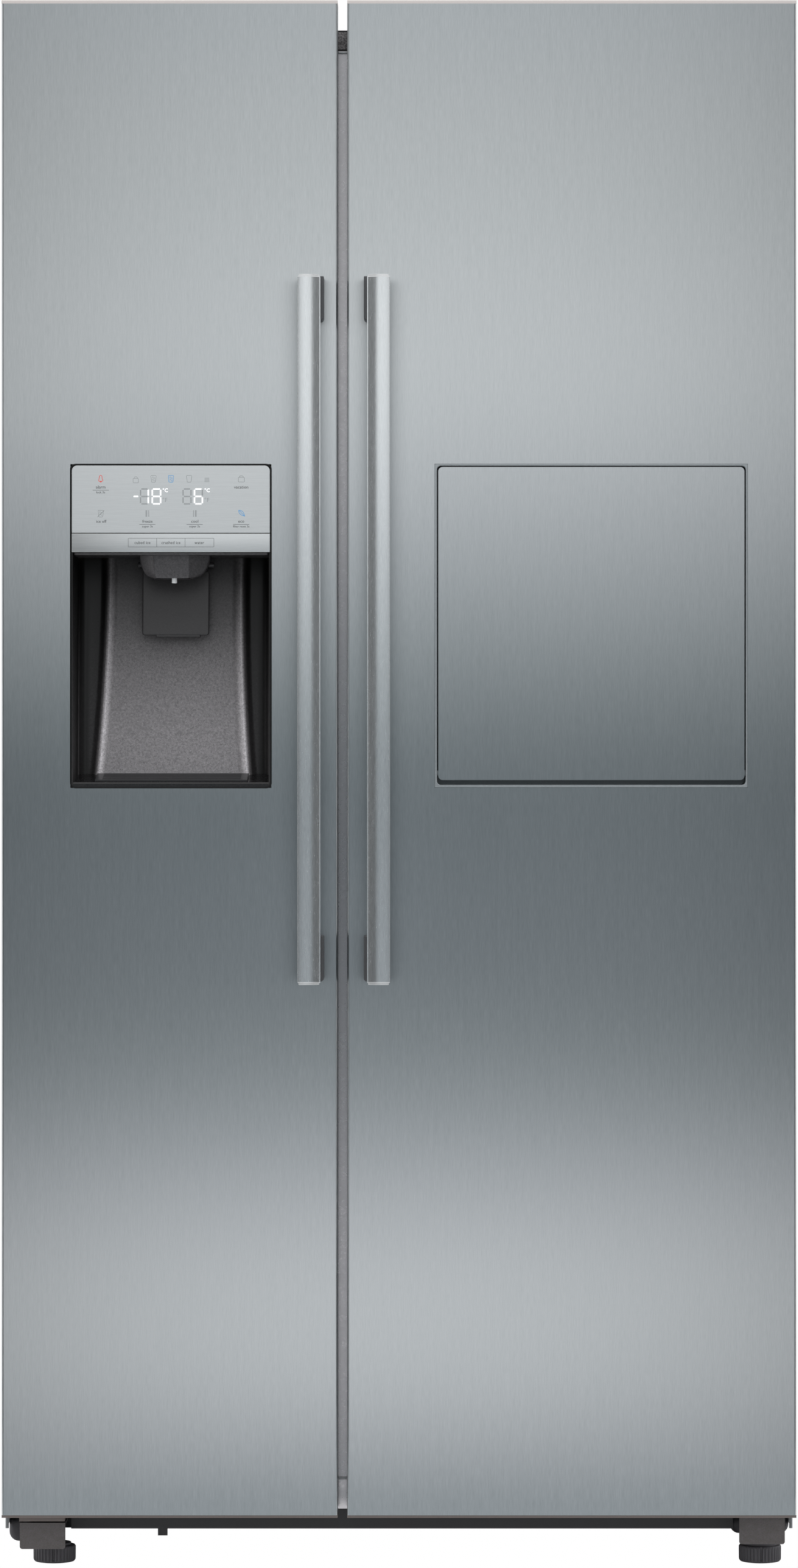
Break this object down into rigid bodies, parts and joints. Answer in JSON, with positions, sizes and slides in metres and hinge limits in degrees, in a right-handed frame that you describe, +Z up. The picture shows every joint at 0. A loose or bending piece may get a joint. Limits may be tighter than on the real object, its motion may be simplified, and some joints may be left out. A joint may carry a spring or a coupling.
{
  "type": "side by side refrigerator",
  "caption": "Side-by-side refrigerator with a freezer door, a fridge door, a water and ice dispenser, a drop-down home bar, bar handles and a furnished inside.",
  "frame": {"origin": "on the floor, under the middle of the closed appliance's bounding box", "axes": "+X to the right seen from the front, +Y from the doors to the back, +Z up"},
  "size_m": [0.908, 0.757, 1.787],
  "materials": {
    "grey_painted_steel": "satin",
    "galvanised_steel": "matte",
    "insulation_foam": "matte",
    "white_plastic": "satin",
    "black_plastic": "matte",
    "bracket_steel": "satin",
    "grey_plastic": "satin",
    "door_steel": "brushed",
    "handle_aluminium": "satin",
    "seal_rubber": "matte",
    "clear_plastic": "clear",
    "shelf_glass": "gloss",
    "stainless_wire": "satin"
  },
  "bodies": {
    "cabinet": {"outer_panels": "grey_painted_steel", "rear_panel": "galvanised_steel", "machine_cover": "galvanised_steel", "cabinet_foam": "insulation_foam", "freezer_liner": "white_plastic", "fridge_liner": "white_plastic", "front_frame": "grey_painted_steel", "top_cover": "black_plastic", "kick_plate": "black_plastic", "base_chassis": "galvanised_steel", "lower_hinges": "bracket_steel", "upper_hinges": "bracket_steel", "hinge_screws": "bracket_steel", "compressor": "bracket_steel", "condenser": "galvanised_steel", "evaporator": "galvanised_steel", "duct_covers": "white_plastic", "water_valve": "grey_plastic", "led_lamps": "clear_plastic", "freezer_shelves": "shelf_glass", "fridge_shelves": "shelf_glass", "ice_maker": "white_plastic", "ice_bucket": "clear_plastic"},
    "freezer_door": {"freezer_door_skin": "door_steel", "freezer_door_foam": "insulation_foam", "freezer_door_liner": "white_plastic", "freezer_door_caps": "grey_plastic", "freezer_door_gasket": "seal_rubber", "freezer_handle": "handle_aluminium", "freezer_handle_mounts": "grey_plastic", "freezer_door_bins": "clear_plastic", "dispenser_panel": "door_steel", "dispenser_housing": "black_plastic", "dispenser_spout": "black_plastic", "water_nozzle": "grey_plastic", "drip_grille": "black_plastic"},
    "fridge_door": {"fridge_door_skin": "door_steel", "fridge_door_foam": "insulation_foam", "fridge_door_liner": "white_plastic", "fridge_door_caps": "grey_plastic", "fridge_door_gasket": "seal_rubber", "fridge_handle": "handle_aluminium", "fridge_handle_mounts": "grey_plastic", "fridge_door_bins": "clear_plastic", "home_bar_frame": "grey_plastic"},
    "home_bar_flap": {"flap_skin": "door_steel", "flap_liner": "white_plastic", "flap_gasket": "seal_rubber"},
    "ice_paddle": {"dispenser_paddle": "black_plastic"},
    "freezer_drawer_upper": {"freezer_drawer_upper": "clear_plastic"},
    "freezer_drawer_lower": {"freezer_drawer_lower": "clear_plastic"},
    "crisper_drawer_upper": {"crisper_drawer_upper": "clear_plastic"},
    "crisper_drawer_lower": {"crisper_drawer_lower": "clear_plastic"},
    "evaporator_fan": {"evaporator_fan": "white_plastic"},
    "condenser_fan": {"condenser_fan": "white_plastic"},
    "ice_auger": {"ice_auger": "stainless_wire"},
    "foot_left": {"foot_left": "black_plastic"},
    "foot_right": {"foot_right": "black_plastic"},
    "front_rollers": {"front_rollers": "black_plastic"},
    "rear_rollers": {"rear_rollers": "black_plastic"}
  },
  "joints": [
    {"name": "freezer_door_hinge", "type": "hinge", "parent": "cabinet", "child": "freezer_door", "pos_m": [-0.425, -0.2985, 0.9], "axis": [0, 0, -1], "range_deg": [0, 120]},
    {"name": "fridge_door_hinge", "type": "hinge", "parent": "cabinet", "child": "fridge_door", "pos_m": [0.425, -0.2985, 0.9], "axis": [0, 0, 1], "range_deg": [0, 120]},
    {"name": "home_bar_hinge", "type": "hinge", "parent": "fridge_door", "child": "home_bar_flap", "pos_m": [0.21925, -0.3185, 0.906], "axis": [1, 0, 0], "range_deg": [0, 90]},
    {"name": "paddle_hinge", "type": "hinge", "parent": "freezer_door", "child": "ice_paddle", "pos_m": [-0.257, -0.258, 1.146], "axis": [1, 0, 0], "range_deg": [0, 8], "stiffness_Nm_per_rad": 0.5},
    {"name": "freezer_drawer_upper_slide", "type": "slide", "parent": "cabinet", "child": "freezer_drawer_upper", "axis": [0, -1, 0], "range_m": [0, 0.03]},
    {"name": "freezer_drawer_lower_slide", "type": "slide", "parent": "cabinet", "child": "freezer_drawer_lower", "axis": [0, -1, 0], "range_m": [0, 0.03]},
    {"name": "crisper_drawer_upper_slide", "type": "slide", "parent": "cabinet", "child": "crisper_drawer_upper", "axis": [0, -1, 0], "range_m": [0, 0.03]},
    {"name": "crisper_drawer_lower_slide", "type": "slide", "parent": "cabinet", "child": "crisper_drawer_lower", "axis": [0, -1, 0], "range_m": [0, 0.03]},
    {"name": "evaporator_fan_spin", "type": "hinge", "parent": "cabinet", "child": "evaporator_fan", "pos_m": [-0.2455, 0.284, 1.44], "axis": [0, 1, 0], "continuous": true},
    {"name": "condenser_fan_spin", "type": "hinge", "parent": "cabinet", "child": "condenser_fan", "pos_m": [-0.045, 0.275, 0.16], "axis": [1, 0, 0], "continuous": true},
    {"name": "ice_auger_spin", "type": "hinge", "parent": "cabinet", "child": "ice_auger", "pos_m": [-0.257, 0.018, 1.374], "axis": [0, 1, 0], "continuous": true},
    {"name": "foot_left_turn", "type": "hinge", "parent": "cabinet", "child": "foot_left", "pos_m": [-0.396, -0.275, 0.02], "axis": [0, 0, 1], "continuous": true},
    {"name": "foot_right_turn", "type": "hinge", "parent": "cabinet", "child": "foot_right", "pos_m": [0.415, -0.275, 0.02], "axis": [0, 0, 1], "continuous": true},
    {"name": "front_rollers_spin", "type": "hinge", "parent": "cabinet", "child": "front_rollers", "pos_m": [0, -0.19, 0.034], "axis": [1, 0, 0], "continuous": true},
    {"name": "rear_rollers_spin", "type": "hinge", "parent": "cabinet", "child": "rear_rollers", "pos_m": [0, 0.32, 0.022], "axis": [1, 0, 0], "continuous": true}
  ]
}
